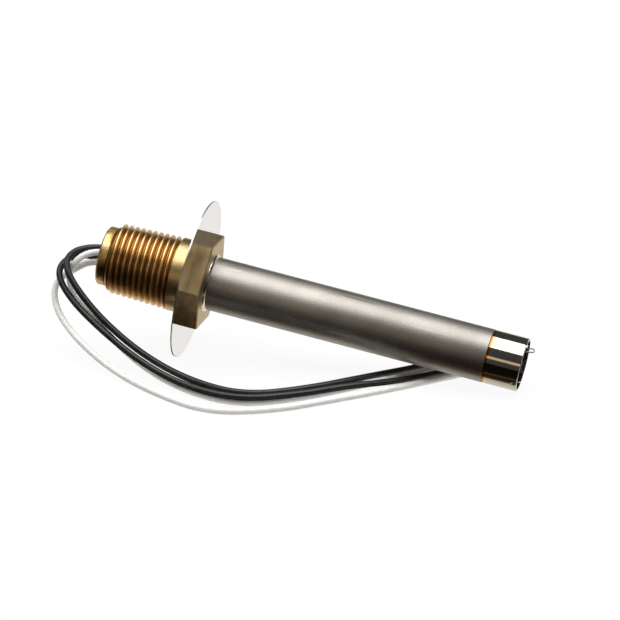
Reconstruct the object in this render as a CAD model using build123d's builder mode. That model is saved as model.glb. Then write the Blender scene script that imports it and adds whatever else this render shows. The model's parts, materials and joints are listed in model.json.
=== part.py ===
from build123d import *
import os
from math import atan, cos, degrees, pi, radians, sin, sqrt, tan

os.makedirs("parts", exist_ok=True)

# Rod-type thermal detector probe with a threaded coupling head, all sizes in millimetres.
# A "reach" is a distance along the probe's axis from the hex's thread-side face: positive
# towards the sensing tip, negative towards the leads. A "bearing" is an angle about the axis
# in degrees, 0 straight up and 90 to the side where the leads lie.

# ---------------------------------------------------------------- driving dimensions
running_gap = 0.05  # radial clearance of a seated or turning piece
loose_gap = 0.35  # clearance of a piece that moves freely

shell_radius = 15.875 / 2
shell_wall = 0.89
shell_end_reach = 89.05
shell_start_reach = -6.0

tip_length = 10.4
tip_recess_radius = 7.3
tip_edge_break = 0.15
spigot_length = 3.7
web_thickness = 5.5
seal_hole_radius = 0.65
seal_hole_inset = 1.05  # hole centre to the rim
seal_hole_bearing = 110

disc_radius = 23.55
disc_thickness = 0.35

hex_across_flats = 25.4
hex_thickness = 4.4
hex_bearing = 18.5
hex_edge_break = 0.3

shank_radius = 10.95
shank_length = 6.2
thread_length = 19.7
thread_pitch = 1.814  # 1/2-14 NPT
thread_depth = 1.3
thread_crest_flat = 0.26
thread_root_flat = 0.214
thread_sink = 0.1  # how far the ridge's flanks run on below the root, so that they cross it
thread_lead_in = 0.2
thread_run_out = 2  # turns of plain core past the ridge's ends, trimmed off with it
thread_large_radius = 10.93
thread_radius_taper = 1 / 32  # radius gained for each unit of length
pilot_radius = 8.75
pilot_length = 2.6
pilot_chamfer = 0.4
lead_bore_radius = 6.2

braze_leg = 0.8
cut_overrun = 1.0  # how far a cutting outline runs past the face that it opens

screw_radius = 2.0
screw_end_reach = 95.3
screw_edge_break = 0.25
screw_slot_width = 0.7
screw_slot_depth = 1.1
screw_slot_bearing = 35
nut_across_flats = 7.0
nut_thickness = 2.6
nut_crown_angle = 30

ball_radius = 1.5
yoke_face_reach = 83.2
yoke_length = 4.8
ball_stand = 1.3  # how far the ball stands out of the yoke
yoke_slot_room = 0.8  # past the struts' ends

strut_width = 3.0
strut_thickness = 0.4
strut_end_offset = 1.3
strut_middle_offset = 2.4
strut_start_reach = -2.0
strut_bow_start = 5.0
strut_bow_end = 77.0
strut_end_reach = 80.4
strut_tail_width = 1.6
strut_tail_length = 9.0
slot_gap = 0.05

contact_radius = 1.2
contact_gap = 0.3
contact_seat_gap = 0.02
contact_edge_break = 0.2

pin_radius = 0.5
pin_inner_height = 0.7
pin_length = 4.8
anchor_pin_reach = 1.0
yoke_pin_reach = 79.4

flange_thickness = 2.0
anchor_nose_reach = 4.0
liner_wall = 0.2
liner_start_reach = 5.0
liner_end_reach = 77.4

seal_outer_reach = -25.5
seal_inner_reach = -15.0
lead_radius = 0.98
lead_circle_radius = 2.3
white_bearings = (40, 130)
black_bearings = (310, 220)
conductor_radius = 0.5
conductor_end_reach = -12.2
terminal_reach = -14.6
terminal_length = 3.0
terminal_arm_reach = -8.7
terminal_arm_thickness = 0.5
terminal_side_margin = 0.6
terminal_face_margin = 0.2
strip_length = 7.0

wire_radius = 0.22

# ---------------------------------------------------------------- worked out from these
tip_reach = shell_end_reach + tip_length
head_reach = -(shank_length + thread_length + pilot_length)
shell_bore = shell_radius - shell_wall
web_inner_reach = shell_end_reach - spigot_length
web_face_reach = web_inner_reach + web_thickness
pocket_floor_reach = shell_start_reach - flange_thickness
pocket_radius = shell_radius + running_gap
thread_small_reach = head_reach + pilot_length
thread_large_reach = -shank_length
core_start_reach = thread_small_reach - thread_run_out * thread_pitch
core_end_reach = thread_large_reach + thread_run_out * thread_pitch
core_overlap_radius = lead_bore_radius + thread_depth  # where the head takes over inside it
thread_crest_half_width = thread_crest_flat / 2
thread_root_half_width = (thread_pitch - thread_root_flat) / 2
thread_flank_run = (thread_root_half_width - thread_crest_half_width) / thread_depth
thread_sunk_half_width = thread_root_half_width + thread_sink * thread_flank_run
ball_reach = yoke_face_reach + ball_stand - ball_radius
screw_start_reach = ball_reach + ball_radius + contact_seat_gap

# The wire seal's outermost bend, which sets the far end of the outline.
wire_eye_reach = tip_reach + 2.2
wire_eye_height = 5.1

# The probe lies on the disc's lower edge and on the tip's lower rim, so its axis slopes down.
slope = atan((disc_radius - shell_radius) / tip_reach)
lead_end_x = -head_reach * cos(slope) + (pilot_radius - pilot_chamfer) * sin(slope)
tip_end_x = wire_eye_reach * cos(slope) + wire_eye_height * sin(slope) + wire_radius

# The origin is on the surface, under the middle of the outline.
hex_face_x = (lead_end_x - tip_end_x) / 2
hex_face_centre = Vector(hex_face_x, 0, disc_radius * cos(slope))
along = Vector(cos(slope), 0, -sin(slope))
upward = Vector(sin(slope), 0, cos(slope))
probe_axis = Axis(hex_face_centre, along)
# Across the axis: local x is up, local y is to the leads' side, local z is the axis.
cross_plane = Plane(origin=hex_face_centre, x_dir=upward, z_dir=along)
# Through the axis: local x is the reach, local y is the radius.
profile_plane = Plane(origin=hex_face_centre, x_dir=along, z_dir=(0, -1, 0))


def thread_radius(reach):
    """Crest radius of the tapered pipe thread."""
    return thread_large_radius - thread_radius_taper * (thread_large_reach - reach)


def section(*points):
    """Closed outline of (reach, radius) points, to be turned about the axis."""
    with BuildSketch(profile_plane) as outline:
        with BuildLine():
            Polyline(*points, close=True)
        make_face()
    return outline.sketch


def radial_plane(reach, bearing):
    """Plane on the axis whose normal points out at that bearing."""
    outward = upward * cos(radians(bearing)) + Vector(0, -1, 0) * sin(radians(bearing))
    return Plane(origin=hex_face_centre + along * reach, x_dir=along, z_dir=outward)


def hand_in(name, label):
    """Label a finished piece and write its file."""
    name.part.label = label
    export_step(name.part, f"parts/{label}.step")


# ---------------------------------------------------------------- coupling head
thread_start_reach = thread_small_reach - thread_pitch
thread_start = hex_face_centre + along * thread_start_reach
thread_rise = thread_large_reach + thread_pitch - thread_start_reach

with BuildPart() as thread:
    with BuildLine() as thread_path:
        Helix(
            thread_pitch,
            thread_rise,
            thread_radius(thread_start_reach) - thread_depth,
            center=thread_start,
            direction=along,
            cone_angle=degrees(atan(thread_radius_taper)),
        )
    ridge_foot = thread_path.line @ 0
    ridge_plane = Plane(
        origin=ridge_foot,
        x_dir=(ridge_foot - thread_start).normalized(),
        z_dir=thread_path.line % 0,
    )
    with BuildSketch(ridge_plane):
        with BuildLine():
            Polyline(
                (-thread_sink, -thread_sunk_half_width),
                (thread_depth, -thread_crest_half_width),
                (thread_depth, thread_crest_half_width),
                (-thread_sink, thread_sunk_half_width),
                close=True,
            )
        make_face()
    sweep(path=thread_path.line, is_frenet=True)
    # The core and the ridge are joined while both run on, and are trimmed together. The
    # ridge fades into a 45 degree lead-in at the pilot.
    revolve(
        section(
            (core_start_reach, 0),
            (core_start_reach, thread_radius(core_start_reach) - thread_depth),
            (core_end_reach, thread_radius(core_end_reach) - thread_depth),
            (core_end_reach, 0),
        ),
        axis=probe_axis,
    )
    lead_in_height = thread_radius(thread_small_reach) - pilot_radius + thread_lead_in
    revolve(
        section(
            (thread_small_reach, 0),
            (thread_small_reach, pilot_radius - thread_lead_in),
            (thread_small_reach + lead_in_height, thread_radius(thread_small_reach) + thread_lead_in),
            (thread_large_reach, thread_large_radius + thread_lead_in),
            (thread_large_reach, 0),
        ),
        axis=probe_axis,
        mode=Mode.INTERSECT,
    )

with BuildPart() as coupling_head:
    revolve(
        section(
            (head_reach, 0),
            (head_reach, pilot_radius - pilot_chamfer),
            (head_reach + pilot_chamfer, pilot_radius),
            (thread_small_reach, pilot_radius),
            (thread_small_reach, core_overlap_radius),
            (thread_large_reach, core_overlap_radius),
            (thread_large_reach, shank_radius),
            (hex_thickness, shank_radius),
            (hex_thickness, 0),
        ),
        axis=probe_axis,
    )
    with BuildSketch(cross_plane):
        RegularPolygon(hex_across_flats / 2, 6, major_radius=False, rotation=hex_bearing)
    extrude(amount=hex_thickness)
    hex_edges = coupling_head.edges().filter_by(GeomType.LINE).filter_by(
        lambda edge: abs(cross_plane.to_local_coords(edge @ 0.5).Z - hex_thickness) < running_gap
    )
    chamfer(hex_edges, hex_edge_break)
    add(thread.part)
    # Lead bore, then the pocket for the anchor block's flange and the shell.
    revolve(
        section(
            (head_reach - cut_overrun, 0),
            (head_reach - cut_overrun, lead_bore_radius),
            (pocket_floor_reach, lead_bore_radius),
            (pocket_floor_reach, pocket_radius),
            (hex_thickness + cut_overrun, pocket_radius),
            (hex_thickness + cut_overrun, 0),
        ),
        axis=probe_axis,
        mode=Mode.SUBTRACT,
    )
hand_in(coupling_head, "coupling_head")

# ---------------------------------------------------------------- disc, shell and braze
with BuildPart() as collector_disc:
    revolve(
        section(
            (-disc_thickness, shank_radius + running_gap),
            (-disc_thickness, disc_radius),
            (0, disc_radius),
            (0, shank_radius + running_gap),
        ),
        axis=probe_axis,
    )
hand_in(collector_disc, "collector_disc")

with BuildPart() as shell_tube:
    revolve(
        section(
            (shell_start_reach, shell_bore),
            (shell_start_reach, shell_radius),
            (shell_end_reach - tip_edge_break, shell_radius),
            (shell_end_reach, shell_radius - tip_edge_break),
            (shell_end_reach, shell_bore),
        ),
        axis=probe_axis,
    )
hand_in(shell_tube, "shell_tube")

with BuildPart() as braze_ring:
    with BuildSketch(profile_plane):
        with BuildLine():
            ring_foot = (hex_thickness, shell_radius)
            ring_out = (hex_thickness, shell_radius + braze_leg)
            ring_along = (hex_thickness + braze_leg, shell_radius)
            Line(ring_foot, ring_out)
            RadiusArc(ring_out, ring_along, 2 * braze_leg)
            Line(ring_along, ring_foot)
        make_face()
    revolve(axis=probe_axis)
hand_in(braze_ring, "braze_ring")

# ---------------------------------------------------------------- sensing tip
with BuildPart() as tip_cap:
    revolve(
        section(
            (web_inner_reach, screw_radius + running_gap),
            (web_inner_reach, shell_bore - running_gap),
            (shell_end_reach, shell_bore - running_gap),
            (shell_end_reach, shell_radius - tip_edge_break),
            (shell_end_reach + tip_edge_break, shell_radius),
            (tip_reach - tip_edge_break, shell_radius),
            (tip_reach, shell_radius - tip_edge_break),
            (tip_reach, tip_recess_radius),
            (web_face_reach, tip_recess_radius),
            (web_face_reach, screw_radius + running_gap),
        ),
        axis=probe_axis,
    )
    with BuildSketch(radial_plane(tip_reach - seal_hole_inset, seal_hole_bearing)):
        Circle(seal_hole_radius)
    extrude(amount=2 * shell_radius, both=True, mode=Mode.SUBTRACT)
hand_in(tip_cap, "tip_cap")

with BuildPart() as setting_screw:
    with BuildSketch(cross_plane.offset(screw_start_reach)):
        Circle(screw_radius)
    extrude(amount=screw_end_reach - screw_start_reach)
    end_rims = setting_screw.edges().filter_by(GeomType.CIRCLE)
    chamfer(end_rims, screw_edge_break)
    with BuildSketch(cross_plane.offset(screw_end_reach)):
        Rectangle(3 * screw_radius, screw_slot_width, rotation=screw_slot_bearing)
    extrude(amount=-screw_slot_depth, mode=Mode.SUBTRACT)
hand_in(setting_screw, "setting_screw")

nut_corner_radius = nut_across_flats / sqrt(3)
with BuildPart() as lock_nut:
    with BuildSketch(cross_plane.offset(web_face_reach)):
        RegularPolygon(nut_across_flats / 2, 6, major_radius=False)
    extrude(amount=nut_thickness)
    # Corners turned off, as a bar-turned nut has them.
    crown_start = web_face_reach + nut_thickness
    corner_fall = (nut_corner_radius - nut_across_flats / 2) * tan(radians(nut_crown_angle))
    revolve(
        section(
            (web_face_reach, 0),
            (web_face_reach, nut_corner_radius),
            (crown_start - corner_fall, nut_corner_radius),
            (crown_start, nut_across_flats / 2),
            (crown_start, 0),
        ),
        axis=probe_axis,
        mode=Mode.INTERSECT,
    )
    with BuildSketch(cross_plane.offset(web_face_reach)):
        Circle(screw_radius + running_gap)
    extrude(amount=nut_thickness, mode=Mode.SUBTRACT)
hand_in(lock_nut, "lock_nut")

# ---------------------------------------------------------------- adjuster inside the shell
yoke_start_reach = yoke_face_reach - yoke_length
yoke_slot_depth = strut_end_reach - yoke_start_reach + yoke_slot_room
pocket_depth = ball_radius * 2 - ball_stand + slot_gap

with BuildPart() as tip_yoke:
    with BuildSketch(cross_plane.offset(yoke_start_reach)):
        Circle(shell_bore - loose_gap)
    extrude(amount=yoke_length)
    with BuildSketch(cross_plane.offset(yoke_face_reach)):
        Circle(ball_radius + slot_gap)
    extrude(amount=-pocket_depth, mode=Mode.SUBTRACT)
    with BuildSketch(cross_plane.offset(yoke_start_reach)):
        with Locations((strut_end_offset, 0), (-strut_end_offset, 0)):
            Rectangle(strut_thickness + 2 * slot_gap, strut_width + 2 * slot_gap)
    extrude(amount=yoke_slot_depth, mode=Mode.SUBTRACT)
    for bearing in (0, 180):
        with BuildSketch(radial_plane(yoke_pin_reach, bearing).offset(pin_inner_height - slot_gap)):
            Circle(pin_radius + slot_gap)
        extrude(amount=shell_radius, mode=Mode.SUBTRACT)
hand_in(tip_yoke, "tip_yoke")

with BuildPart() as thrust_ball:
    with Locations(hex_face_centre + along * ball_reach):
        Sphere(ball_radius)
hand_in(thrust_ball, "thrust_ball")

# ---------------------------------------------------------------- bowed struts and contacts
for letter, side in (("a", 1), ("b", -1)):
    inner = strut_end_offset - strut_thickness / 2
    outer = strut_end_offset + strut_thickness / 2
    bow = strut_middle_offset - strut_end_offset
    bow_middle = (strut_bow_start + strut_bow_end) / 2
    with BuildPart() as strut:
        with BuildSketch(profile_plane):
            with BuildLine():
                Line((strut_start_reach, side * outer), (strut_bow_start, side * outer))
                ThreePointArc(
                    (strut_bow_start, side * outer),
                    (bow_middle, side * (outer + bow)),
                    (strut_bow_end, side * outer),
                )
                Line((strut_bow_end, side * outer), (strut_end_reach, side * outer))
                Line((strut_end_reach, side * outer), (strut_end_reach, side * inner))
                Line((strut_end_reach, side * inner), (strut_bow_end, side * inner))
                ThreePointArc(
                    (strut_bow_end, side * inner),
                    (bow_middle, side * (inner + bow)),
                    (strut_bow_start, side * inner),
                )
                Line((strut_bow_start, side * inner), (strut_start_reach, side * inner))
                Line((strut_start_reach, side * inner), (strut_start_reach, side * outer))
            make_face()
        extrude(amount=strut_width / 2, both=True)
        with BuildSketch(cross_plane.offset(strut_start_reach)):
            with Locations((side * strut_end_offset, 0)):
                Rectangle(strut_thickness, strut_tail_width)
        extrude(amount=-strut_tail_length)
        for pin_reach in (anchor_pin_reach, yoke_pin_reach):
            with BuildSketch(radial_plane(pin_reach, 0)):
                Circle(pin_radius + slot_gap)
            extrude(amount=side * 2 * strut_middle_offset, mode=Mode.SUBTRACT)
    hand_in(strut, f"strut_{letter}")

    contact_height = strut_middle_offset - strut_thickness / 2 - contact_seat_gap
    with BuildPart() as contact:
        with BuildSketch(radial_plane(bow_middle, 90 - side * 90).offset(contact_gap / 2)):
            Circle(contact_radius)
        extrude(amount=contact_height - contact_gap / 2)
        rims = contact.edges().filter_by(GeomType.CIRCLE)
        facing_rim = rims.sort_by_distance(hex_face_centre + along * bow_middle)[0]
        chamfer(facing_rim, contact_edge_break)
    hand_in(contact, f"contact_{letter}")

# ---------------------------------------------------------------- anchor block, pins and liner
with BuildPart() as anchor_block:
    revolve(
        section(
            (pocket_floor_reach, 0),
            (pocket_floor_reach, shell_radius),
            (shell_start_reach, shell_radius),
            (shell_start_reach, shell_bore - 2 * running_gap),
            (anchor_nose_reach, shell_bore - 2 * running_gap),
            (anchor_nose_reach, 0),
        ),
        axis=probe_axis,
    )
    with BuildSketch(cross_plane.offset(strut_start_reach)):
        with Locations((strut_end_offset, 0), (-strut_end_offset, 0)):
            Rectangle(strut_thickness + 2 * slot_gap, strut_width + 2 * slot_gap)
    extrude(amount=anchor_nose_reach - strut_start_reach, mode=Mode.SUBTRACT)
    with BuildSketch(cross_plane.offset(pocket_floor_reach)):
        with Locations((strut_end_offset, 0), (-strut_end_offset, 0)):
            Rectangle(strut_thickness + 2 * slot_gap, strut_tail_width + 2 * slot_gap)
    extrude(amount=strut_start_reach - pocket_floor_reach, mode=Mode.SUBTRACT)
    for bearing in (0, 180):
        with BuildSketch(radial_plane(anchor_pin_reach, bearing).offset(pin_inner_height - slot_gap)):
            Circle(pin_radius + slot_gap)
        extrude(amount=shell_radius, mode=Mode.SUBTRACT)
hand_in(anchor_block, "anchor_block")

for label, pin_reach in (("anchor_pins", anchor_pin_reach), ("yoke_pins", yoke_pin_reach)):
    with BuildPart() as pins:
        for bearing in (0, 180):
            with BuildSketch(radial_plane(pin_reach, bearing).offset(pin_inner_height)):
                Circle(pin_radius)
            extrude(amount=pin_length)
    hand_in(pins, label)

liner_radius = shell_bore - 2 * running_gap
with BuildPart() as insulating_liner:
    revolve(
        section(
            (liner_start_reach, liner_radius - liner_wall),
            (liner_start_reach, liner_radius),
            (liner_end_reach, liner_radius),
            (liner_end_reach, liner_radius - liner_wall),
        ),
        axis=probe_axis,
    )
hand_in(insulating_liner, "insulating_liner")

# ---------------------------------------------------------------- lead seal and terminals
with BuildPart() as lead_seal:
    with BuildSketch(cross_plane.offset(seal_outer_reach)):
        Circle(lead_bore_radius - running_gap)
        for bearing in white_bearings + black_bearings:
            with PolarLocations(lead_circle_radius, 1, start_angle=bearing):
                Circle(conductor_radius + running_gap, mode=Mode.SUBTRACT)
    extrude(amount=seal_inner_reach - seal_outer_reach)
hand_in(lead_seal, "lead_seal")

for colour, bearings in (("black", black_bearings), ("white", white_bearings)):
    with BuildPart() as conductors:
        with BuildSketch(cross_plane.offset(seal_outer_reach)):
            for bearing in bearings:
                with PolarLocations(lead_circle_radius, 1, start_angle=bearing):
                    Circle(conductor_radius)
        extrude(amount=conductor_end_reach - seal_outer_reach)
    hand_in(conductors, f"{colour}_conductors")

# A terminal is a bar that takes both conductors of one colour, with an arm beside a strut's tail.
bar_width = 2 * (lead_circle_radius + terminal_side_margin)
bar_inner = strut_tail_width / 2 + slot_gap
bar_outer = lead_circle_radius + terminal_face_margin
arm_inner = strut_end_offset + strut_thickness / 2 + contact_seat_gap
arm_middle = arm_inner + terminal_arm_thickness / 2
terminal_plane = cross_plane.offset(terminal_reach)
for colour, side, bearings in (("black", 1, black_bearings), ("white", -1, white_bearings)):
    with BuildPart() as terminal:
        with BuildSketch(terminal_plane):
            with Locations((0, -side * (bar_inner + bar_outer) / 2)):
                Rectangle(bar_width, bar_outer - bar_inner)
        extrude(amount=terminal_length)
        with BuildSketch(terminal_plane):
            with Locations((side * arm_middle, -side * (bar_outer - bar_inner) / 2)):
                Rectangle(terminal_arm_thickness, bar_outer + bar_inner)
        extrude(amount=terminal_arm_reach - terminal_reach)
        with BuildSketch(terminal_plane):
            for bearing in bearings:
                with PolarLocations(lead_circle_radius, 1, start_angle=bearing):
                    Circle(conductor_radius + running_gap)
        extrude(amount=terminal_arm_reach - terminal_reach, mode=Mode.SUBTRACT)
    hand_in(terminal, f"{colour}_terminal")

# ---------------------------------------------------------------- leads
# Each lead leaves its hole in the seal along the axis, bends over outside the bore, drops to
# the surface, lies in a loose bundle and passes under the shell. Points are (x from the hex
# face, y, z above the surface).
lead_routes = {
    "black_lead_1": [
        (-37.2, -1.6, 28.9), (-38.4, -6.6, 26.3), (-34.2, -9.2, 20.5), (-24.9, -12.8, 12.5),
        (-11.4, -17.0, 5.0), (4.1, -21.5, 1.0), (21.6, -26.0, 1.0), (38.6, -17.0, 1.0),
        (52.6, -6.2, 1.0), (66.6, 4.0, 1.0), (73.6, 11.5, 1.0), (72.0, 18.5, 1.0),
        (64.0, 21.8, 1.0), (51.5, 23.2, 1.0), (40.0, 26.2, 1.0), (29.5, 30.2, 1.0),
    ],
    "white_lead_1": [
        (-34.7, -4.4, 28.3), (-38.2, -4.5, 22.2), (-35.4, -7.2, 16.4), (-25.9, -12.3, 10.2),
        (-12.9, -17.8, 2.6), (2.6, -27.0, 1.0), (20.6, -32.0, 1.0), (35.6, -25.0, 1.0),
        (48.6, -15.0, 1.0), (60.6, -5.2, 1.0), (70.8, 3.8, 1.0), (78.2, 11.0, 1.0),
        (77.4, 19.5, 1.0), (68.5, 24.8, 1.0), (56.0, 26.6, 1.0), (44.6, 30.4, 1.0),
    ],
    "black_lead_2": [
        (-38.6, -1.2, 26.7), (-41.2, -6.0, 23.2), (-35.9, -9.8, 17.0), (-24.9, -15.6, 11.2),
        (-11.4, -20.9, 5.0), (4.1, -28.6, 3.1), (21.6, -32.5, 3.1), (37.6, -25.2, 3.1),
        (50.6, -16.2, 3.1), (62.1, -6.8, 1.2), (73.8, 2.3, 1.0), (82.0, 10.6, 1.0),
        (82.4, 20.2, 1.0), (74.1, 26.6, 1.0), (64.0, 29.2, 1.0), (57.0, 31.6, 1.0),
    ],
    "white_lead_2": [
        (-37.6, -1.8, 22.4), (-43.0, -3.4, 18.0), (-40.6, -9.0, 12.0), (-31.4, -16.5, 6.8),
        (-18.9, -23.0, 2.0), (-4.4, -31.0, 1.0), (13.6, -38.5, 1.0), (31.6, -32.8, 1.0),
        (46.6, -22.4, 1.0), (60.6, -12.2, 1.0), (74.1, -1.7, 1.0), (84.9, 7.2, 1.0),
        (87.2, 18.0, 1.0), (80.2, 26.6, 1.0), (73.6, 29.4, 1.0),
    ],
}
# Bearing of each lead's hole, and how far its straight start runs out of the seal.
lead_starts = {
    "black_lead_1": (black_bearings[0], 5.0),
    "white_lead_1": (white_bearings[0], 4.5),
    "black_lead_2": (black_bearings[1], 6.0),
    "white_lead_2": (white_bearings[1], 5.5),
}


def corner_radii(points):
    """Largest tangent arc that each corner's two runs leave room for."""
    radii = []
    for before, corner, after in zip(points, points[1:], points[2:]):
        shorter = min((corner - before).length, (after - corner).length)
        half_turn = radians((corner - before).get_angle(after - corner)) / 2
        radii.append(0.45 * shorter / tan(half_turn))
    return radii


for label, route in lead_routes.items():
    bearing, straight = lead_starts[label]
    hole_x = lead_circle_radius * cos(radians(bearing))
    hole_y = lead_circle_radius * sin(radians(bearing))
    points = [
        cross_plane.from_local_coords(Vector(hole_x, hole_y, seal_outer_reach)),
        cross_plane.from_local_coords(Vector(hole_x, hole_y, seal_outer_reach - straight)),
    ]
    points += [Vector(hex_face_x + x, y, z) for x, y, z in route]
    radii = corner_radii(points)
    with BuildPart() as lead:
        with BuildLine() as lead_path:
            FilletPolyline(*points, radius=radii)
        with BuildSketch(Plane(origin=points[0], z_dir=-along)):
            Circle(lead_radius)
        sweep(path=lead_path.wire())
    lead_length = lead_path.wire().length
    tube_volume = pi * lead_radius**2 * lead_length
    print(label, "length", round(lead_length, 1), "radii", [round(r, 1) for r in radii])
    print("   volume against section times length", round(lead.part.volume / tube_volume, 4))
    hand_in(lead, label)

    with BuildPart() as stripped_end:
        last_run = (points[-1] - points[-2]).normalized()
        with BuildSketch(Plane(origin=points[-1], z_dir=last_run)):
            Circle(conductor_radius)
        extrude(amount=strip_length)
    hand_in(stripped_end, label.replace("lead", "stripped_end"))

# ---------------------------------------------------------------- wire seal in the tip
# Points are (up, to the leads' side, reach): from the near hole, round the screw, out to an
# eye past the rim and back inside.
hole_out = 7.6  # radius of the strand's end, in the wall
hole_up = hole_out * cos(radians(seal_hole_bearing))
hole_side = hole_out * sin(radians(seal_hole_bearing))
wire_points = [
    (hole_up, hole_side, tip_reach - seal_hole_inset),
    (-1.6, 4.4, tip_reach - seal_hole_inset),
    (0.6, 4.6, tip_reach - 2.4),
    (3.4, 2.6, tip_reach - 2.9),
    (4.9, -0.9, tip_reach - 1.6),
    (5.4, -1.2, tip_reach + 2.1),
    (4.7, -0.3, tip_reach + 2.3),
    (4.4, 0.3, tip_reach - 2.0),
]
with BuildPart() as seal_wire:
    wire_route = [cross_plane.from_local_coords(Vector(*point)) for point in wire_points]
    with BuildLine() as wire_path:
        FilletPolyline(*wire_route, radius=corner_radii(wire_route))
    wire_start = (wire_route[1] - wire_route[0]).normalized()
    with BuildSketch(Plane(origin=wire_route[0], z_dir=wire_start)):
        Circle(wire_radius)
    sweep(path=wire_path.wire())
hand_in(seal_wire, "seal_wire")

outline_end = seal_wire.part.bounding_box().max.X
print("outline's far end", round(outline_end, 2), "set from", round(hex_face_x + tip_end_x, 2))
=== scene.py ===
# %% [markdown]
# # A rod-type thermal detector probe
# The real object screws into a fitting by its brass coupling head. A mirror disc gathers
# warm air round it, a blasted steel shell reaches out to a polished sensing tip, and four
# leads come out of the head's bore. The solid model is loaded first and is never changed:
# this lesson lays smooth leads in place of its plain ones, sets up the studio round it, and
# gives every piece its finish. Sizes and places are in millimetres unless they say otherwise.

import json
import math

import bpy
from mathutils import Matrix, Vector


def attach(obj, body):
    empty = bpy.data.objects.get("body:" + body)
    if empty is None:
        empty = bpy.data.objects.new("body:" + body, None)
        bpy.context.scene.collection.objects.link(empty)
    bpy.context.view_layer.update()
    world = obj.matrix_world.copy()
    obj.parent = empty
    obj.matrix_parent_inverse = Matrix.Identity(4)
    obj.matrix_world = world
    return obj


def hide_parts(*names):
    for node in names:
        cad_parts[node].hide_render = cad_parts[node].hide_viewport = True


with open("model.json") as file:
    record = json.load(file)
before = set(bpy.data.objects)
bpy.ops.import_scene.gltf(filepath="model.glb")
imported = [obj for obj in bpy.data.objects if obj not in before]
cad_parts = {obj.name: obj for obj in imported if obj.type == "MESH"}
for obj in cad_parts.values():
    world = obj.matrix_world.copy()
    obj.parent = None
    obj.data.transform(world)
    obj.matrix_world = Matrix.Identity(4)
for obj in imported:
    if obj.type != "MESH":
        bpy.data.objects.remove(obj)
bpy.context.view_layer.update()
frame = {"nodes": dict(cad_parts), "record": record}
nodes = frame["nodes"]

# %% [markdown]
# The probe lies on its disc's edge and its tip's rim, so its axis slopes down a little.
# Everything turned or bored on the real one is concentric with that axis, so it is worth
# having the axis as a ruler: a reach from the hex's thread-side face, positive towards the
# tip. The axis and the hex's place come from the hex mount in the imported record.

# %% A ruler along the probe
MM = 0.001
HEX_THICKNESS = 4.4
mounts = {mount["name"]: mount for mount in frame["record"]["mounts"]}
along = Vector(mounts["hex"]["axis"]).normalized()
toward_leads = Vector((0, -1, 0))
upward = toward_leads.cross(along)
hex_face = Vector(mounts["hex"]["pos_m"]) - along * HEX_THICKNESS / 2 * MM
slope = math.atan2(-along.z, along.x)


def on_probe(reach, up=0.0, out=0.0):
    """Point at a reach along the axis, and so far up and towards the leads, all in mm."""
    return hex_face + (along * reach + upward * up + toward_leads * out) * MM


print("slope", round(math.degrees(slope), 2), "degrees, hex face at", hex_face)

# %% [markdown]
# A long lens far away keeps the probe's sides nearly parallel, as a catalogue picture does.
# It stands off from the hex in one direction, and its aim is given apart from that, as an
# azimuth round the upright and an elevation above the floor.

# %% The camera
VIEW_AZIMUTH = math.radians(14.626)
VIEW_ELEVATION = math.radians(27.048)
CAMERA_DISTANCE = 1.2  # metres from the hex
hex_to_camera = Vector((0.2525, -0.8577, 0.4478)).normalized() * CAMERA_DISTANCE
camera_data = bpy.data.cameras.new("catalogue camera")
camera_data.sensor_width = 36
camera_data.lens = 237.6
camera_data.clip_start = 0.05
camera_data.clip_end = 20
camera = bpy.data.objects.new("catalogue camera", camera_data)
camera.location = hex_face + hex_to_camera
camera.rotation_euler = (math.pi / 2 - VIEW_ELEVATION, 0, VIEW_AZIMUTH)
bpy.context.scene.collection.objects.link(camera)
bpy.context.scene.camera = camera
print("camera", camera.location)

# %% [markdown]
# The leads are the only soft pieces. Each one is a tube on a spline, whose control points are
# the same route that the solid tube follows: out of the resin, over in a tight bend, down to
# the surface and along it in a loose bundle. A NURBS spline of order 3 rounds every corner of
# that route smoothly, so the wire never looks bent with pliers. The bare spline is read first,
# as the line that the lead follows, and then its round bevel is turned into a mesh. A mesh
# has true bounds, while a curve object's take in the radius of its control points.

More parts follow.
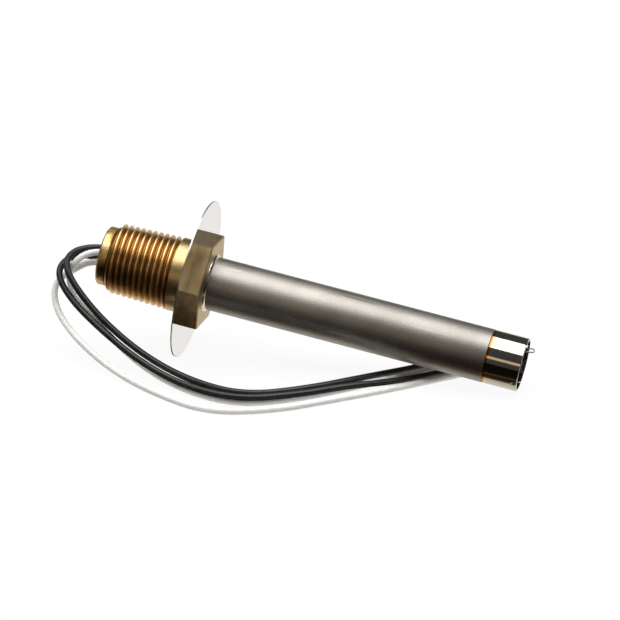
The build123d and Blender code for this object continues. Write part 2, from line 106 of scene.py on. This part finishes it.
# %% The leads
LEAD_RADIUS = 0.98
LEAD_CIRCLE = 2.3  # radius of the ring of holes that the leads leave by
SEAL_REACH = -25.5
lead_facts = {  # bearing of the hole in degrees, straight start, length along the spline
    "black_lead_1": (310, 5.0, 202.2),
    "white_lead_1": (40, 4.5, 201.8),
    "black_lead_2": (220, 6.0, 203.0),
    "white_lead_2": (130, 5.5, 203.9),
}
lead_routes = {
    "black_lead_1": [
        (-37.2, -1.6, 28.9), (-38.4, -6.6, 26.3), (-34.2, -9.2, 20.5), (-24.9, -12.8, 12.5),
        (-11.4, -17.0, 5.0), (4.1, -21.5, 1.0), (21.6, -26.0, 1.0), (38.6, -17.0, 1.0),
        (52.6, -6.2, 1.0), (66.6, 4.0, 1.0), (73.6, 11.5, 1.0), (72.0, 18.5, 1.0),
        (64.0, 21.8, 1.0), (51.5, 23.2, 1.0), (40.0, 26.2, 1.0), (29.5, 30.2, 1.0),
    ],
    "white_lead_1": [
        (-34.7, -4.4, 28.3), (-38.2, -4.5, 22.2), (-35.4, -7.2, 16.4), (-25.9, -12.3, 10.2),
        (-12.9, -17.8, 2.6), (2.6, -27.0, 1.0), (20.6, -32.0, 1.0), (35.6, -25.0, 1.0),
        (48.6, -15.0, 1.0), (60.6, -5.2, 1.0), (70.8, 3.8, 1.0), (78.2, 11.0, 1.0),
        (77.4, 19.5, 1.0), (68.5, 24.8, 1.0), (56.0, 26.6, 1.0), (44.6, 30.4, 1.0),
    ],
    "black_lead_2": [
        (-38.6, -1.2, 26.7), (-41.2, -6.0, 23.2), (-35.9, -9.8, 17.0), (-24.9, -15.6, 11.2),
        (-11.4, -20.9, 5.0), (4.1, -28.6, 3.1), (21.6, -32.5, 3.1), (37.6, -25.2, 3.1),
        (50.6, -16.2, 3.1), (62.1, -6.8, 1.2), (73.8, 2.3, 1.0), (82.0, 10.6, 1.0),
        (82.4, 20.2, 1.0), (74.1, 26.6, 1.0), (64.0, 29.2, 1.0), (57.0, 31.6, 1.0),
    ],
    "white_lead_2": [
        (-37.6, -1.8, 22.4), (-43.0, -3.4, 18.0), (-40.6, -9.0, 12.0), (-31.4, -16.5, 6.8),
        (-18.9, -23.0, 2.0), (-4.4, -31.0, 1.0), (13.6, -38.5, 1.0), (31.6, -32.8, 1.0),
        (46.6, -22.4, 1.0), (60.6, -12.2, 1.0), (74.1, -1.7, 1.0), (84.9, 7.2, 1.0),
        (87.2, 18.0, 1.0), (80.2, 26.6, 1.0), (73.6, 29.4, 1.0),
    ],
}
leads = {}
for name, route in lead_routes.items():
    bearing, straight, length = lead_facts[name]
    up = LEAD_CIRCLE * math.cos(math.radians(bearing))
    out = LEAD_CIRCLE * math.sin(math.radians(bearing))
    points = [on_probe(SEAL_REACH, up, out), on_probe(SEAL_REACH - straight, up, out)]
    points += [Vector((hex_face.x, 0, 0)) + Vector(point) * MM for point in route]
    curve = bpy.data.curves.new(name + "_insulation", "CURVE")
    curve.dimensions = "3D"
    spline = curve.splines.new("NURBS")
    spline.points.add(len(points) - 1)
    for control, point in zip(spline.points, points):
        control.co = (*point, 1)
    spline.order_u = 3
    spline.use_endpoint_u = True
    spline.resolution_u = 16
    guide = bpy.data.objects.new(name + "_guide", curve)
    line = [tuple(vertex.co) for vertex in bpy.data.meshes.new_from_object(guide).vertices]
    curve.bevel_depth = LEAD_RADIUS * MM
    curve.bevel_resolution = 6
    curve.use_fill_caps = True
    tube = bpy.data.meshes.new_from_object(guide)
    bpy.data.objects.remove(guide)
    lead = bpy.data.objects.new(name + "_insulation", tube)
    bpy.context.scene.collection.objects.link(lead)
    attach(lead, "housing")
    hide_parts(name)
    leads[name] = lead
    print(name, "with", len(points), "control points,", len(tube.polygons), "faces")

# %% [markdown]
# Colours are given as the hex codes that a colour picker shows, which are sRGB. Shaders
# work in linear light, so one function turns a code into the numbers that a socket needs,
# and another adds a node with its settings and links in a single call.

# %% Colour and node helpers
def linear(code):
    """Linear RGBA from an sRGB hex code such as C0A070."""
    channels = [int(code[i : i + 2], 16) / 255 for i in (0, 2, 4)]
    return [c / 12.92 if c <= 0.04045 else ((c + 0.055) / 1.055) ** 2.4 for c in channels] + [1.0]


def add(tree, kind, inputs=None, stops=None, **settings):
    """Add a shader node. Inputs are values or sockets to link from; stops fill a ramp."""
    node = tree.nodes.new("ShaderNode" + kind)
    for name, value in settings.items():
        setattr(node, name, value)
    for name, value in (inputs or {}).items():
        if isinstance(value, bpy.types.NodeSocket):
            tree.links.new(value, node.inputs[name])
        else:
            node.inputs[name].default_value = value
    if stops:
        elements = node.color_ramp.elements
        while len(elements) < len(stops):
            elements.new(0.5)
        for element, (place, code) in zip(elements, stops):
            element.position = place
            element.color = linear(code)
    return node


def start_material(name):
    """A new material with its tree emptied."""
    material = bpy.data.materials.new(name)
    material.use_nodes = True
    material.node_tree.nodes.clear()
    return material, material.node_tree


def finish_material(tree, shader):
    tree.links.new(shader.outputs[0], add(tree, "OutputMaterial").inputs["Surface"])


def coat(material, *names):
    """Give the named solid-model pieces a finish."""
    for name in names:
        for slot in nodes[name].material_slots:
            slot.material = material


print("sample, brass in linear light:", [round(c, 3) for c in linear("C0A070")])

# %% [markdown]
# Polished metal has no colour of its own to speak of: it shows the room. So the room is
# made first. One wide softbox hangs overhead, a narrow warm card stands far off at the
# front left, and the floor looks evenly white to the camera. To reflected rays the floor
# glows with a painted reflection, dark bands in front and cream behind, which draws the
# dark and cream bands along the polished tip, and to diffuse rays it glows as a painted
# bounce light.

# %% The studio
REFLECTION_DARK_Y = -0.022  # the painted reflection on the floor is darkest in front of this line, in metres
REFLECTION_BRIGHT_Y = -0.006
bpy.ops.object.select_all(action="DESELECT")
bpy.ops.mesh.primitive_plane_add(size=8, location=(0, 0, 0))
floor = bpy.context.object
floor.name = "studio_floor"
floor_paint, tree = start_material("white floor with painted reflection and bounce glow")
place = add(tree, "TexCoord").outputs["Object"]
depth = add(tree, "SeparateXYZ", {"Vector": place}).outputs["Y"]
front_to_back = add(
    tree,
    "MapRange",
    {"Value": depth, "From Min": REFLECTION_DARK_Y, "From Max": REFLECTION_BRIGHT_Y},
).outputs["Result"]
# Painted reflection: bands that the floor shows only to reflected rays, dark in front and cream behind,
# set to draw the polished tip's dark and cream bands.
painted_reflection_bands = add(
    tree,
    "ValToRGB",
    {"Fac": front_to_back},
    stops=[
        (0.0, "14110E"), (0.3, "1E1812"), (0.45, "5A4936"), (0.56, "2C2118"),
        (0.78, "43352A"), (0.88, "E8DCC6"), (1.0, "F8F5EF"),
    ],
)
# Painted reflection: the floor glows with these bands for rays reflected off the probe.
painted_reflection = add(tree, "Emission", {"Color": painted_reflection_bands.outputs["Color"], "Strength": 0.95})
glow = add(tree, "Emission", {"Color": (1, 1, 1, 1), "Strength": 0.93})
faint_shadow = add(tree, "BsdfDiffuse", {"Color": (0.07, 0.07, 0.07, 1)})
seen = add(tree, "AddShader", {0: glow.outputs[0], 1: faint_shadow.outputs[0]})
# Painted bounce light: the floor glows evenly for diffuse rays, though it is no lamp.
painted_bounce_glow = add(tree, "Emission", {"Color": linear("F6F4F0"), "Strength": 0.9})
path = add(tree, "LightPath")
# Reflected rays see the painted reflection, diffuse rays the painted bounce glow, and the camera an
# evenly white floor with faint real shadows.
lit = add(
    tree, "MixShader", {0: path.outputs["Is Diffuse Ray"], 1: painted_reflection.outputs[0], 2: painted_bounce_glow.outputs[0]}
)
both = add(tree, "MixShader", {0: path.outputs["Is Camera Ray"], 1: lit.outputs[0], 2: seen.outputs[0]})
finish_material(tree, both)
floor.data.materials.append(floor_paint)

world = bpy.data.worlds.new("studio air")
world.use_nodes = True
world.node_tree.nodes["Background"].inputs["Color"].default_value = (0.07, 0.07, 0.07, 1)
bpy.context.scene.world = world


def softbox(name, place, aim, size_x, size_y, power, tint="FFFFFF"):
    """A rectangular area light that faces a point."""
    data = bpy.data.lights.new(name, "AREA")
    data.shape = "RECTANGLE"
    data.size = size_x
    data.size_y = size_y
    data.energy = power
    data.color = linear(tint)[:3]
    light = bpy.data.objects.new(name, data)
    light.location = place
    light.rotation_euler = (Vector(place) - Vector(aim)).to_track_quat("Z", "Y").to_euler()
    bpy.context.scene.collection.objects.link(light)
    return light


softbox("overhead softbox", (0, 0.063, 0.62), (0, 0.063, 0), 1.4, 0.64, 9.5)
softbox("warm front card", (-0.85, -1.6, 0.74), (-0.85, 0, 0), 1.9, 0.3, 1.6, "FFE0B4")
bpy.context.scene.view_settings.view_transform = "Standard"
print("studio: floor, overhead softbox, warm front card")

# %% [markdown]
# Nearly every finish here was made by something turning round the probe's axis: a lathe, a
# buffing wheel, a thread die. Coordinates that run along that axis therefore do the work
# of a UV map. Their x is the reach, and the length of y and z is the radius.

# %% Coordinates on the probe's axis
def axis_coordinates(tree):
    """Coordinates in metres with x the reach along the probe; also reach and radius."""
    place = add(tree, "TexCoord").outputs["Object"]
    turned = add(
        tree,
        "Mapping",
        {"Vector": place, "Location": hex_face, "Rotation": (0, slope, 0)},
        vector_type="TEXTURE",
    ).outputs["Vector"]
    reach = add(tree, "SeparateXYZ", {"Vector": turned}).outputs["X"]
    across = add(tree, "VectorMath", {0: turned, 1: (0, 1, 1)}, operation="MULTIPLY").outputs[0]
    radius = add(tree, "VectorMath", {0: across}, operation="LENGTH").outputs["Value"]
    return turned, reach, radius


print("finishes are mapped along an axis that slopes", round(math.degrees(slope), 2), "degrees")


def worked_metal(
    name, colours, roughness, grain, grain_depth, metallic=1.0, turned_lines=0.0, patches=300.0
):
    """A finish with mottled colour, uneven roughness, fine grain and turned lines.

    Grain is the size of one grain and grain_depth its height, both in millimetres.
    turned_lines is the spacing in millimetres of rings left by a lathe, or 0 for none.
    """
    material, tree = start_material(name)
    place, reach, radius = axis_coordinates(tree)
    mottle = add(tree, "TexNoise", {"Vector": place, "Scale": patches, "Detail": 4.0}).outputs["Fac"]
    colour = add(tree, "ValToRGB", {"Fac": mottle}, stops=[(0.3, colours[0]), (0.7, colours[1])])
    rough = add(
        tree, "MapRange", {"Value": mottle, "To Min": roughness * 0.8, "To Max": roughness * 1.25}
    ).outputs["Result"]
    fine = add(
        tree, "TexNoise", {"Vector": place, "Scale": 1000 / grain, "Detail": 2.0}
    ).outputs["Fac"]
    bump = add(tree, "Bump", {"Height": fine, "Strength": 0.6, "Distance": grain_depth * MM})
    if turned_lines:
        lines = add(
            tree,
            "TexNoise",
            {"W": reach, "Scale": 1000 / turned_lines, "Detail": 1.0},
            noise_dimensions="1D",
        ).outputs["Fac"]
        bump = add(
            tree,
            "Bump",
            {"Height": lines, "Strength": 0.5, "Distance": grain_depth * MM, "Normal": bump.outputs[0]},
        )
    shader = add(
        tree,
        "BsdfPrincipled",
        {
            "Base Color": colour.outputs["Color"],
            "Metallic": metallic,
            "Roughness": rough,
            "Normal": bump.outputs[0],
        },
    )
    finish_material(tree, shader)
    return material


# %% [markdown]
# The coupling head is one bar of forging brass with four looks along it. The pilot was
# faced last and is bright with brown stains, the thread's colour is darker towards its
# roots and golden on its crests, the shank is pale and satin, and the hex is dull as
# drawn. One material holds them all, and masks by reach choose between them.

# %% Brass of the coupling head
PILOT_END, SHANK_START = -25.9, -6.2  # reaches in mm
CREST_AT_HEX, TAPER, THREAD_DEPTH = 11.124, 1 / 32, 1.3
brass, tree = start_material("forging brass, threaded and tarnished")
place, reach, radius = axis_coordinates(tree)
stain = add(tree, "TexNoise", {"Vector": place, "Scale": 260.0, "Detail": 5.0}).outputs["Fac"]
crest = add(
    tree, "Math", {0: reach, 1: TAPER, 2: CREST_AT_HEX * MM}, operation="MULTIPLY_ADD"
).outputs[0]
below = add(tree, "Math", {0: radius, 1: crest}, operation="SUBTRACT").outputs[0]
height = add(
    tree, "MapRange", {"Value": below, "From Min": -THREAD_DEPTH * MM, "From Max": 0.0}
).outputs["Result"]
stained = add(tree, "Math", {0: stain, 1: 0.5, 2: -0.25}, operation="MULTIPLY_ADD").outputs[0]
height = add(tree, "Math", {0: height, 1: stained}, operation="ADD", use_clamp=True).outputs[0]
# The thread's colour goes by depth below the crest line: darker towards the roots, golden on the crests,
# with stains mixed in.
thread_colour = add(
    tree,
    "ValToRGB",
    {"Fac": height},
    stops=[(0.0, "94703E"), (0.35, "B98F52"), (0.75, "D3AC6C"), (1.0, "E6C894")],
).outputs["Color"]
pilot_colour = add(
    tree, "ValToRGB", {"Fac": stain}, stops=[(0.4, "7E5A30"), (0.48, "C8A264"), (0.62, "DDBE88")]
).outputs["Color"]
shank_colour = add(
    tree, "ValToRGB", {"Fac": stain}, stops=[(0.3, "BC9F6C"), (0.7, "CBB080")]
).outputs["Color"]
hex_colour = add(
    tree, "ValToRGB", {"Fac": stain}, stops=[(0.3, "A88E62"), (0.7, "C4AA7C")]
).outputs["Color"]
colour = pilot_colour
zones = ((PILOT_END, thread_colour), (SHANK_START, shank_colour), (0.0, hex_colour))
for zone_start, zone_colour in zones:
    past = add(tree, "Math", {0: reach, 1: zone_start * MM}, operation="GREATER_THAN").outputs[0]
    colour = add(
        tree, "Mix", {0: past, 6: colour, 7: zone_colour}, data_type="RGBA"
    ).outputs[2]
rings = add(
    tree, "TexNoise", {"W": reach, "Scale": 5200.0, "Detail": 1.0}, noise_dimensions="1D"
).outputs["Fac"]
ring_bump = add(tree, "Bump", {"Height": rings, "Strength": 0.35, "Distance": 0.04 * MM})
pits = add(tree, "TexNoise", {"Vector": place, "Scale": 2400.0, "Detail": 3.0}).outputs["Fac"]
bump = add(
    tree,
    "Bump",
    {"Height": pits, "Strength": 0.4, "Distance": 0.05 * MM, "Normal": ring_bump.outputs[0]},
)
rough = add(tree, "MapRange", {"Value": stain, "To Min": 0.26, "To Max": 0.46}).outputs["Result"]
shader = add(
    tree,
    "BsdfPrincipled",
    {"Base Color": colour, "Metallic": 1.0, "Roughness": rough, "Normal": bump.outputs[0]},
)
finish_material(tree, shader)
coat(brass, "coupling_head")
print("brass zones start at", PILOT_END, SHANK_START, 0.0, "mm")

# %% [markdown]
# The collector disc is thin stainless sheet with a mirror polish. Only its cut edge is
# satin, which draws the thin grey line round it, and the buffing wheel left the faintest
# rings.

# %% Mirror of the disc
DISC_EDGE = 23.4
mirror, tree = start_material("mirror polished stainless sheet")
place, reach, radius = axis_coordinates(tree)
edge = add(tree, "Math", {0: radius, 1: DISC_EDGE * MM}, operation="GREATER_THAN").outputs[0]
colour = add(
    tree, "Mix", {0: edge, 6: linear("F1F2F2"), 7: linear("B9BBBC")}, data_type="RGBA"
).outputs[2]
rough = add(tree, "MapRange", {"Value": edge, "To Min": 0.035, "To Max": 0.3}).outputs["Result"]
rings = add(
    tree, "TexNoise", {"W": radius, "Scale": 3500.0, "Detail": 2.0}, noise_dimensions="1D"
).outputs["Fac"]
bump = add(tree, "Bump", {"Height": rings, "Strength": 0.05, "Distance": 0.01 * MM})
shader = add(
    tree,
    "BsdfPrincipled",
    {"Base Color": colour, "Metallic": 1.0, "Roughness": rough, "Normal": bump.outputs[0]},
)
finish_material(tree, shader)
coat(mirror, "collector_disc")
print("mirror with a satin edge from radius", DISC_EDGE, "mm")

# %% [markdown]
# The shell was blasted with glass beads, which leave dimples about a third of a millimetre
# across and a soft grey sheen with no lines in it. Handling has since drawn a few long
# slanted scratches that catch the light.

# %% Blasted steel of the shell
BEAD = 0.34  # one dimple in mm
blasted, tree = start_material("bead blasted stainless")
place, reach, radius = axis_coordinates(tree)
cloud = add(tree, "TexNoise", {"Vector": place, "Scale": 90.0, "Detail": 3.0}).outputs["Fac"]
dimples = add(tree, "TexNoise", {"Vector": place, "Scale": 1000 / BEAD, "Detail": 2.0}).outputs["Fac"]
speckle = add(tree, "Math", {0: dimples, 1: 0.45, 2: 0.0}, operation="MULTIPLY_ADD").outputs[0]
tone = add(tree, "Math", {0: cloud, 1: 0.55, 2: speckle}, operation="MULTIPLY_ADD").outputs[0]
colour = add(tree, "ValToRGB", {"Fac": tone}, stops=[(0.35, "8F8B84"), (0.65, "A8A49C")])
slanted = add(
    tree,
    "Mapping",
    {"Vector": place, "Rotation": (0, 0.35, 0.5), "Scale": (60, 1400, 1400)},
).outputs["Vector"]
marks = add(tree, "TexNoise", {"Vector": slanted, "Scale": 1.0, "Detail": 0.0}).outputs["Fac"]
scratch = add(tree, "MapRange", {"Value": marks, "From Min": 0.74, "From Max": 0.8}).outputs["Result"]
rough = add(tree, "MapRange", {"Value": scratch, "To Min": 0.46, "To Max": 0.28}).outputs["Result"]
dimple_bump = add(tree, "Bump", {"Height": dimples, "Strength": 0.5, "Distance": 0.06 * MM})
shader = add(
    tree,
    "BsdfPrincipled",
    {
        "Base Color": colour.outputs["Color"],
        "Metallic": 1.0,
        "Roughness": rough,
        "Normal": dimple_bump.outputs[0],
    },
)
finish_material(tree, shader)
coat(blasted, "shell_tube")
print("dimples", BEAD, "mm across")

# %% [markdown]
# The tip was polished and then welded into the shell. The heat of the weld grew an oxide
# film that thins out away from the joint, and its thickness sets its colour: blue and
# purple at the joint, then orange, then straw, within a millimetre and a half.

# %% Polished tip with its heat tint
JOINT_REACH, TINT_WIDTH = 89.05, 1.7
WAVER = 0.6  # how far the edge of each colour wanders along the tip
polished, tree = start_material("polished stainless with heat tint")
place, reach, radius = axis_coordinates(tree)
waver = add(tree, "TexNoise", {"Vector": place, "Scale": 350.0, "Detail": 2.0}).outputs["Fac"]
wavered = add(tree, "Math", {0: waver, 1: WAVER * MM, 2: reach}, operation="MULTIPLY_ADD").outputs[0]
tint = add(
    tree,
    "MapRange",
    {"Value": wavered, "From Min": JOINT_REACH * MM, "From Max": (JOINT_REACH + TINT_WIDTH) * MM},
).outputs["Result"]
colour = add(
    tree,
    "ValToRGB",
    {"Fac": tint},
    stops=[
        (0.0, "5D6A9C"), (0.18, "7E4F86"), (0.36, "C4682C"),
        (0.55, "E09A48"), (0.78, "D9C48E"), (1.0, "BDB8AE"),
    ],
)
rings = add(
    tree, "TexNoise", {"W": reach, "Scale": 4200.0, "Detail": 3.0}, noise_dimensions="1D"
).outputs["Fac"]
ring_bump = add(tree, "Bump", {"Height": rings, "Strength": 0.25, "Distance": 0.02 * MM})
ripple = add(tree, "TexNoise", {"Vector": place, "Scale": 500.0, "Detail": 1.0}).outputs["Fac"]
bump = add(
    tree,
    "Bump",
    {"Height": ripple, "Strength": 0.12, "Distance": 0.05 * MM, "Normal": ring_bump.outputs[0]},
)
rough = add(tree, "MapRange", {"Value": ripple, "To Min": 0.06, "To Max": 0.12}).outputs["Result"]
shader = add(
    tree,
    "BsdfPrincipled",
    {
        "Base Color": colour.outputs["Color"],
        "Metallic": 1.0,
        "Roughness": rough,
        "Normal": bump.outputs[0],
    },
)
finish_material(tree, shader)
coat(polished, "tip_cap")
print("heat tint from", JOINT_REACH, "to", JOINT_REACH + TINT_WIDTH, "mm")

# %% [markdown]
# The other metals and the ceramics differ by how they were made: drawn, rolled, machined,
# ground or pressed. Each one keeps its own mottle and grain, since the cutaway and the
# pose views look inside.

# %% The smaller pieces' finishes
braze = worked_metal("silver braze, as flowed", ("C9C1AE", "EFEADC"), 0.2, 0.5, 0.04, patches=700)
machined = worked_metal("machined steel", ("7E7E7D", "A3A3A1"), 0.3, 0.12, 0.01, turned_lines=0.16)
nut_steel = worked_metal("milled steel nut", ("868583", "A9A8A5"), 0.34, 0.2, 0.015)
ground = worked_metal("ground bearing steel", ("C4C4C5", "DCDCDD"), 0.07, 0.1, 0.002)
strip = worked_metal("rolled alloy strip", ("9A948B", "B9B3A8"), 0.28, 0.15, 0.008)
silver = worked_metal("fine silver contact", ("D2CFC6", "ECEAE3"), 0.15, 0.1, 0.005, turned_lines=0.1)
pin_steel = worked_metal("ground steel pin", ("9B9B9B", "BDBDBD"), 0.18, 0.08, 0.004)
wire_steel = worked_metal("drawn steel wire", ("8D8981", "BBB6AC"), 0.24, 0.1, 0.01)
terminal_brass = worked_metal("stamped terminal brass", ("B08C42", "D3B36C"), 0.26, 0.15, 0.01)
tinned = worked_metal("tinned copper strands", ("A9A59B", "CFCBC1"), 0.28, 0.12, 0.02)
steatite = worked_metal("unglazed steatite", ("DDD6C8", "EFE9DD"), 0.62, 0.25, 0.02, metallic=0.0)
film = worked_metal("amber polyimide film", ("A5681A", "C98A2E"), 0.22, 0.6, 0.01, metallic=0.0)
resin = worked_metal("cast potting resin", ("17130F", "2B231D"), 0.3, 0.8, 0.05, metallic=0.0)
coat(braze, "braze_ring")
coat(machined, "setting_screw")
coat(nut_steel, "lock_nut")
coat(ground, "thrust_ball")
coat(strip, "strut_a", "strut_b")
coat(silver, "contact_a", "contact_b")
coat(pin_steel, "anchor_pins", "yoke_pins")
coat(wire_steel, "seal_wire")
coat(terminal_brass, "black_terminal", "white_terminal")
coat(tinned, "black_conductors", "white_conductors", *[n for n in nodes if "stripped_end" in n])
coat(steatite, "tip_yoke", "anchor_block")
coat(film, "insulating_liner")
coat(resin, "lead_seal")
print("finishes:", [material.name for material in bpy.data.materials])

# %% [markdown]
# The leads' insulation is extruded. The black one came off a die that chattered, which
# left fine ribs across it, while the white one is a smoother, glossier plastic. The tube
# keeps the UV map of the bevelled curve that it was made from, whose x runs along it, so the
# ribs stay square to the lead however it bends.

# %% Insulation of the leads
RIB_SPACING = 0.55
LEAD_LENGTH = 200.0  # near enough for the spacing of the ribs


def insulation(name, colours, roughness, rib_height, scuff_depth):
    """Extruded plastic with ribs across the lead and fine scuffs over them."""
    material, tree = start_material(name)
    coordinates = add(tree, "TexCoord")
    along_lead = add(tree, "SeparateXYZ", {"Vector": coordinates.outputs["UV"]}).outputs["X"]
    turns = add(
        tree, "Math", {0: along_lead, 1: LEAD_LENGTH / RIB_SPACING * 2 * math.pi}, operation="MULTIPLY"
    ).outputs[0]
    ribs = add(tree, "Math", {0: turns}, operation="SINE").outputs[0]
    scuffs = add(
        tree, "TexNoise", {"Vector": coordinates.outputs["Object"], "Scale": 420.0, "Detail": 4.0}
    ).outputs["Fac"]
    rib_bump = add(tree, "Bump", {"Height": ribs, "Strength": 0.5, "Distance": rib_height * MM})
    bump = add(
        tree,
        "Bump",
        {
            "Height": scuffs,
            "Strength": 0.2,
            "Distance": scuff_depth * MM,
            "Normal": rib_bump.outputs[0],
        },
    )
    colour = add(tree, "ValToRGB", {"Fac": scuffs}, stops=[(0.35, colours[0]), (0.7, colours[1])])
    rough = add(
        tree, "MapRange", {"Value": scuffs, "To Min": roughness * 0.8, "To Max": roughness * 1.3}
    ).outputs["Result"]
    shader = add(
        tree,
        "BsdfPrincipled",
        {"Base Color": colour.outputs["Color"], "Roughness": rough, "Normal": bump.outputs[0]},
    )
    finish_material(tree, shader)
    return material


black = insulation("black extruded insulation", ("121213", "232325"), 0.33, 0.05, 0.02)
white = insulation("white glossy insulation", ("F0F0EE", "F8F8F6"), 0.26, 0.0004, 0.003)
for name, lead in leads.items():
    lead.data.materials.append(black if "black" in name else white)
print("ribs", RIB_SPACING, "mm apart")

# %% [markdown]
# The new leads stay inside the solid model's box. The last call brings the scene up to date.

# %% Bring the scene up to date
bpy.context.view_layer.update()
